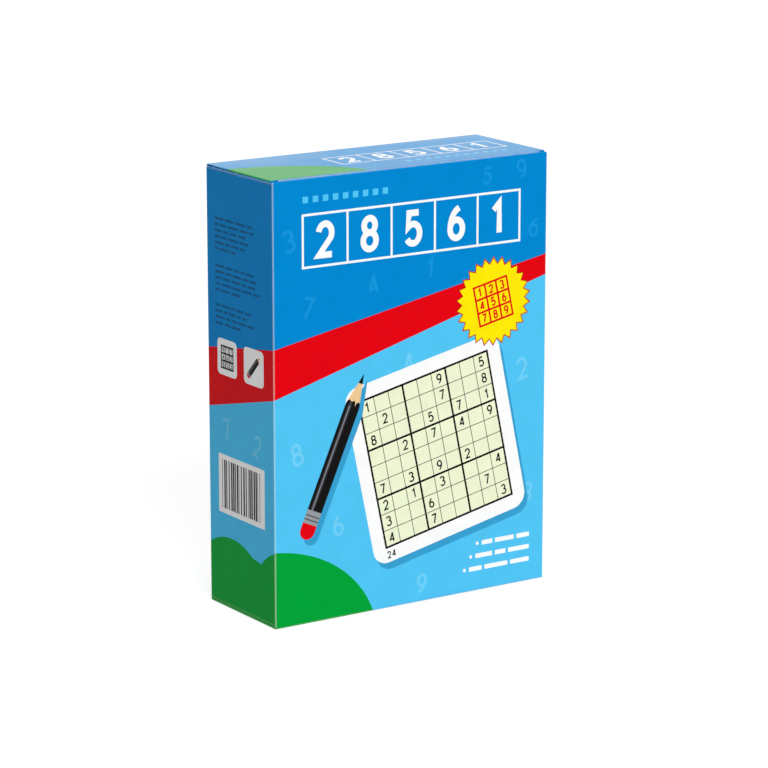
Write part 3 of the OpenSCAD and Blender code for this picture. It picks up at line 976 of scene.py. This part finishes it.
def right_art():
    art = wall_art(
        CARTON_D, STRIPE["front_right"], STRIPE["back_right"],
        deep=((6, 10, 160, 8, 12), (2, 37, 142, 8, -10)),
        light=((1, 9, 112, 9, -10), (9, 38, 100, 9, 12), (7, 8, 30, 9, 14), (3, 39, 14, 9, -12)))
    middle, half = CARTON_D / 2, COLUMN_TILE / 2
    for k, digit in enumerate(TITLE):
        v = COLUMN_TOP - k * COLUMN_PITCH
        art.rect("white", middle - half, v - half, middle + half, v + half, radius=1.6)
        art.cell_digit("deep_blue", digit, middle, v, COLUMN_PITCH, COLUMN_DIGIT)
    square_row(art, "light_blue", u=8, v=160.6, side=2.4, pitch=4.4, count=8)
    art.at(middle, 148).small_grid("white", side=15, line_width=0.8, digits=(3, 8, 1, 5, 2, 9, 7, 4, 6))
    return art


def back_art():
    art = wall_art(
        CARTON_W, STRIPE["back_right"], STRIPE["back_left"],
        deep=((4, 8, 150, 9, 12), (7, 116, 152, 9, -12), (3, 100, 118, 8, 10)),
        light=((5, 12, 108, 9, -12), (8, 62, 92, 9, 12), (1, 10, 16, 9, -8)))
    green_hill(art, BACK_HILL)
    art.cells(TITLE, u=22, v=145, side=16, ink="white", line_width=0.8)
    square_row(art, "light_blue", u=22, v=164.4, side=2, pitch=4, count=9)
    for u, pairs, seed in ((34, PUZZLE_PAIRS, 21), (90, ALL_PAIRS, 22)):
        picture = picture_card(art, u, v=56, half=26, corner_r=4, shadow=(1.2, -1.8))
        picture.puzzle(puzzle_givens(seed, pairs), side=45, thin=0.22, thick=0.65)
    art.text_block("navy", u=10, v=22, width=48, lines=5, height=1.2, pitch=3, seed=9)
    return art


def lid_art():
    # The lid's blue ground and faint digits are lightened blues: painted light on the top face
    art = Art("lid_blue")
    scatter(art, "faint_lid", ((5, 116, 36, 8, 12), (8, 60, 39, 8, -10)))
    green_hill(art, LID_HILL)
    art.cells(TITLE, u=42, v=17, side=15, ink="white", line_width=0.7)
    square_row(art, "light_blue", u=66, v=9.4, side=2.2, pitch=4.4, count=11)
    return art


# The carton's printed walls and lid

LID_ROLL = 0.4


def upright(a, b, at):
    return (a, b, at)


def along_x(a, b, at):
    return (at - HALF_W, a, b)


def half_turn(points):
    """A section turned half round, from the front to the back or from left to right."""
    return [(-a, -b) for a, b in points]


def wall(name, node, path, first, closing, art, cut_edge=CUT_EDGE, **ends):
    """A wall of the carton, as high as the CAD node that it stands for."""
    low, high = box_mm(node)
    materials = [WALL_PRINT, BOARD, cut_edge]
    piece = folded_sheet(name, path, first, closing, (low.z, high.z), upright, art, materials, **ends)
    dress(piece, node, "carton")


corner_x, corner_y = HALF_W - SHEET, SHEET - HALF_D
left_corner = arc(-corner_x, corner_y, SHEET, SHEET, 180, 270)
right_corner = arc(corner_x, corner_y, SHEET, SHEET, 270, 360)
wall_path = left_corner + right_corner
wall_first = SHEET - SHEET * math.pi / 2
side_path = [(-HALF_W, -corner_y), (-HALF_W, corner_y)]
side_closing = [(-corner_x, corner_y), (-corner_x, -corner_y)]

# The front's top edge and the lid's cut ends are paled by wear and by a painted edge highlight
wall("carton_front", "front_panel", wall_path, wall_first, [], front_art(), INKED_EDGE,
     rolls=(0, EDGE_ROLL), end_wear=(0, LOW_END_WEAR_AND_HIGHLIGHT))
wall("carton_back", "back_panel", half_turn(wall_path), wall_first, [], back_art())
wall("carton_left_side", "left_panel", side_path, SHEET, side_closing, left_art())
wall("carton_right_side", "right_panel", half_turn(side_path), SHEET, half_turn(side_closing), right_art())

lid_crease = arc(lid_high.y - CREASE_R, lid_high.z - CREASE_R, CREASE_R, CREASE_R, 90, -90)
lid = folded_sheet(
    "carton_lid", [(lid_low.y, lid_high.z)] + lid_crease, lid_low.y + HALF_D, [(lid_low.y, lid_low.z)],
    (lid_low.x + HALF_W, lid_high.x + HALF_W), along_x, lid_art(), [LID_PRINT, BOARD, INKED_EDGE],
    inward=-1, rolls=[LID_ROLL] * 2, end_wear=[LOW_END_WEAR_AND_HIGHLIGHT] * 2, swapped=True)
dress(lid, "top_lid", "lid")


# The boards

board_nodes = sorted(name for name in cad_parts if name.startswith("sudoku_board_"))
LEVELS = 4
PUZZLES_PER_LEVEL = 2 * len(board_nodes) // LEVELS
EASIEST_PAIRS = 17
BOARD_GRID = 99.0
# The row over the grid, with the puzzle's number and the squares for its level
ROW_RISE = 4.9
LEVEL_SIDE = 3.8
LEVEL_PITCH = 5


def board_art(number):
    """A puzzle with its number in one corner, and squares for how hard it is in the other."""
    art = Art("card_white")
    givens = puzzle_givens(seed=100 + number, pairs=EASIEST_PAIRS - number // PUZZLES_PER_LEVEL)
    art.puzzle(givens, BOARD_GRID, thin=0.35, thick=1.0, ground="card_white")
    edge = BOARD_GRID / 2
    row = edge + ROW_RISE
    art.number("black", number, -edge, row, height=5)
    level = (number - 1) // PUZZLES_PER_LEVEL + 1
    half = LEVEL_SIDE / 2
    for k in range(LEVELS):
        u = edge - (LEVELS - k) * LEVEL_PITCH
        art.rect("red" if k < level else "cell", u, row - half, u + LEVEL_SIDE, row + half, radius=0.6)
    return art


for k, node in enumerate(board_nodes):
    layouts = [board_art(2 * k + side) for side in (1, 2)]
    board = card(node.replace("sudoku", "printed"), *box_mm(node), *layouts)
    dress(board, node, node.replace("sudoku_", ""))


# The leaflet

PAPER_T = 0.15
FOLD_WIDTH = 0.4
PAGE_MARGIN = 9
COLUMN_WIDTH = 86
LEAFLET_TEXT = {"width": COLUMN_WIDTH, "height": 1.1, "pitch": 2.9}
# Distances from the top of a page
HEADING_FOOT, FIRST_TEXT, EXAMPLE_MIDDLE, SECOND_TEXT = 19, 25, 78, 108


def leaflet_art(leaf):
    """The back leaf comes first, then the fold, then the front leaf."""
    art = Art("paper_white")
    top = leaflet_high.z
    for k, page in enumerate((0, leaf + FOLD_WIDTH)):
        u = page + PAGE_MARGIN
        art.rect("deep_blue", u, top - HEADING_FOOT, u + COLUMN_WIDTH, top - PAGE_MARGIN, radius=2)
        art.text_block("black", u, top - FIRST_TEXT, lines=9, seed=2 * k, **LEAFLET_TEXT)
        example = art.at(u + COLUMN_WIDTH / 2, top - EXAMPLE_MIDDLE)
        example.puzzle(puzzle_givens(seed=40 + k), side=46, thin=0.2, thick=0.55)
        art.text_block("black", u, top - SECOND_TEXT, lines=11, seed=2 * k + 1, **LEAFLET_TEXT)
    return art


def leaflet_path(inset):
    """A U that opens to the right, from the free end of the back leaf."""
    radius = (leaflet_high.y - leaflet_low.y) / 2
    centre_x, centre_y = leaflet_low.x + radius, leaflet_low.y + radius
    bend = arc(centre_x, centre_y, radius - inset, radius - inset, 90, 270)
    return [(leaflet_high.x, leaflet_high.y - inset)] + bend + [(leaflet_high.x, leaflet_low.y + inset)]


leaflet = folded_sheet(
    "folded_leaflet", leaflet_path(0), 0, leaflet_path(PAPER_T)[::-1], (leaflet_low.z, leaflet_high.z),
    upright, leaflet_art(leaflet_high.x - leaflet_low.x), [PAPER_PRINT, PAPER, PAPER])
dress(leaflet, "rules_leaflet", "leaflet")


# Nodes that keep their CAD shape

FLAP_BLEED = 5
RIM_DEPTH = 0.15
SOFT_EDGE = 0.18
SOFT_EDGE_ANGLE = 40
TUCK_LEAN = math.radians(12)
UP, DOWN, BACKWARD, FORWARD = (0, 0, 1), (0, 0, -1), (0, 1, 0), (0, -1, 0)
# Rings of ink on the marker's barrel, from and to these heights over its foot in millimetres
MARKER_BANDS = ((14, 16, "deep_blue"), (17, 18, "deep_blue"), (30, 52, "light_blue"))

tuck_low, tuck_high = box_mm("lid_tuck_flap")
outer_low, outer_high = box_mm("bottom_outer_flap")
inner_low, inner_high = box_mm("bottom_inner_flap")
bottom_dust_low, _ = box_mm("bottom_dust_flap_left")
dust_low, _ = box_mm("dust_flap_left")


def bottom_flap(name, axis, way, bleed, border):
    """A bottom flap, green on the left of its border and light blue on the right."""
    return flap_material(name, axis, way, DOWN, bleed, "green", far_ink="light_blue", border=border,
                         rim=outer_high.x - RIM_DEPTH)


tuck_way = (0, math.sin(TUCK_LEAN), -math.cos(TUCK_LEAN))
tuck_outward = (0, -math.cos(TUCK_LEAN), -math.sin(TUCK_LEAN))
barrel_bands = [(marker_low.z + low, marker_low.z + high, ink) for low, high, ink in MARKER_BANDS]

node_materials = {
    # The tuck flap's fold is fully paled: wear and a painted highlight along the lid's front edge
    "lid_tuck_flap": flap_material(
        "tuck_flap_print", (0, tuck_low.y + CREASE_R, tuck_high.z - CREASE_R), tuck_way, tuck_outward,
        CARTON_D, "deep_blue", rim=tuck_high.x - RIM_DEPTH, wear=1.0),
    "bottom_outer_flap": bottom_flap(
        "outer_flap_print", (0, outer_low.y + CREASE_R, CREASE_R), BACKWARD, CARTON_D,
        border=FRONT_HILL.u + hill_reach(FRONT_HILL) - HALF_W),
    "bottom_inner_flap": bottom_flap(
        "inner_flap_print", (0, inner_high.y - CREASE_R, inner_low.z + CREASE_R), FORWARD, FLAP_BLEED,
        border=HALF_W - BACK_HILL.u + hill_reach(BACK_HILL)),
    "glue_flap": BOARD,
    "marker_barrel": plastic_material("white_plastic", WHITE_PLASTIC, roughness=0.22, bands=barrel_bands),
    "marker_nib_section": plastic_material("grey_plastic", GREY_PLASTIC, roughness=0.3),
    "marker_cap": plastic_material("black_plastic", BLACK_PLASTIC, roughness=0.25),
    "marker_end_plug": plastic_material("black_plastic_plug", BLACK_PLASTIC, roughness=0.3),
    "marker_nib": fibre_material(
        "nib_fibre", NIB_BLACK, roughness=0.9, scale=1500, depth=0.0001, upright_scale=0.2),
    "marker_reservoir": fibre_material(
        "ink_fibre", INK_FIBRE, roughness=0.95, scale=1200, depth=0.0002, upright_scale=0.1),
    "marker_eraser": fibre_material(
        "eraser_felt", FELT_GREY, roughness=0.95, scale=1400, depth=0.0002, upright_scale=1),
}
for side, sign, bottom_ink in (("left", -1, "green"), ("right", 1, "light_blue")):
    axis_x = sign * (HALF_W - CREASE_R)
    way = (-sign, 0, 0)
    node_materials["dust_flap_" + side] = flap_material(
        "dust_flap_print_" + side, (axis_x, 0, dust_low.z + CREASE_R), way, UP, FLAP_BLEED, "deep_blue")
    node_materials["bottom_dust_flap_" + side] = flap_material(
        "bottom_dust_print_" + side, (axis_x, 0, bottom_dust_low.z + CREASE_R), way, DOWN, FLAP_BLEED,
        bottom_ink)

for node, material in node_materials.items():
    node_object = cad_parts[node]
    node_object.data.materials.clear()
    node_object.data.materials.append(material)
for node in ("marker_barrel", "marker_cap", "marker_end_plug", "marker_nib_section", "marker_eraser"):
    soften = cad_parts[node].modifiers.new("soft_edges", "BEVEL")
    soften.width = SOFT_EDGE * MM
    soften.segments = 2
    soften.limit_method = "ANGLE"
    soften.angle_limit = math.radians(SOFT_EDGE_ANGLE)


# Stage, light and camera

FLOOR_REACH = 6.0
FLOOR_DROP = 0.0002
FLOOR_ALBEDO = 0.3
FLOOR_GLOW = 0.78
AMBIENT = 0.3
# Azimuth, elevation, strength and angle of each soft sun
SUNS = {
    "key_light": (-13, 32, 0.82, 30),
    "right_fill_light": (85, 30, 0.3, 40),
    "back_fill_light": (183, 15, 0.58, 40),
}
PHOTO_SIDE_PX = 768
FOCAL_LENGTH_PX = 3400
CAMERA_SENSOR = 36.0
CAMERA_LENS = CAMERA_SENSOR * FOCAL_LENGTH_PX / PHOTO_SIDE_PX
CAMERA_AZIMUTH = -33.72
CAMERA_ELEVATION = 13.366
# In millimetres
CAMERA_DISTANCE = 1307.6
CAMERA_TARGET = (2.468, 0, 81.384)


def toward(azimuth, elevation):
    """The direction from the object to a lamp or camera. Azimuth 0 is the front, and 90 the right."""
    a, e = math.radians(azimuth), math.radians(elevation)
    return Vector((math.sin(a) * math.cos(e), -math.cos(a) * math.cos(e), math.sin(e)))


def aim(thing, back):
    """Points a lamp or camera away from a direction."""
    thing.rotation_mode = "QUATERNION"
    thing.rotation_quaternion = back.to_track_quat("Z", "Y")


def seen_directly(tree):
    """1 for what the camera, reflections and clear plastic see, and 0 for what lights a surface."""
    path = tree.add("ShaderNodeLightPath").outputs
    value = path["Is Camera Ray"]
    for name in ("Is Glossy Ray", "Is Transmission Ray"):
        value = tree.math("MAXIMUM", value, path[name])
    return value


def pale_floor():
    """A floor that the camera and reflections see as white, less the object's shadow."""
    shader = Shader("floor")
    shade = shader.add("ShaderNodeBsdfDiffuse", {"Color": (FLOOR_ALBEDO, FLOOR_ALBEDO, FLOOR_ALBEDO, 1)})
    glow = shader.add("ShaderNodeEmission", {"Color": WHITE, "Strength": FLOOR_GLOW})
    shown = shader.add("ShaderNodeAddShader", {0: shade.outputs[0], 1: glow.outputs[0]})
    sides = {0: seen_directly(shader), 1: shade.outputs[0], 2: shown.outputs[0]}
    both = shader.add("ShaderNodeMixShader", sides)
    shader.feed(shader.nodes["Material Output"].inputs["Surface"], both.outputs[0])
    shader.nodes.remove(shader.surface)
    mesh = bpy.data.meshes.new("floor")
    corners = [(x * FLOOR_REACH, y * FLOOR_REACH, 0) for x, y in ((-1, -1), (1, -1), (1, 1), (-1, 1))]
    mesh.from_pydata(corners, [], [(0, 1, 2, 3)])
    mesh.materials.append(shader.material)
    floor = add_object("floor", mesh)
    floor.location.z = cad_low.z - FLOOR_DROP


def white_surround():
    """A world that lights the object evenly, and that is white where it is seen."""
    world = bpy.data.worlds.new("surround")
    tree = Nodes(world)
    background = tree.nodes["Background"].inputs
    tree.feed(background["Color"], WHITE)
    strength = tree.spread(seen_directly(tree), AMBIENT, 1.0, from_low=0, from_high=1)
    tree.feed(background["Strength"], strength)
    bpy.context.scene.world = world


def sun(name, azimuth, elevation, strength, angle):
    """A soft sun. At strength 1, straight on, it alone would turn white paper white."""
    lamp = bpy.data.lights.new(name, "SUN")
    lamp.energy = strength * math.pi
    lamp.angle = math.radians(angle)
    aim(add_object(name, lamp), toward(azimuth, elevation))


def photo_camera():
    camera = bpy.data.cameras.new("camera")
    camera.sensor_width = CAMERA_SENSOR
    camera.lens = CAMERA_LENS
    camera.clip_start, camera.clip_end = 0.05, 50
    holder = add_object("camera", camera)
    back = toward(CAMERA_AZIMUTH, CAMERA_ELEVATION)
    holder.location = (Vector(CAMERA_TARGET) + back * CAMERA_DISTANCE) * MM
    aim(holder, back)
    bpy.context.scene.camera = holder


pale_floor()
white_surround()
for name, settings in SUNS.items():
    sun(name, *settings)
photo_camera()
bpy.context.scene.view_settings.view_transform = "Standard"
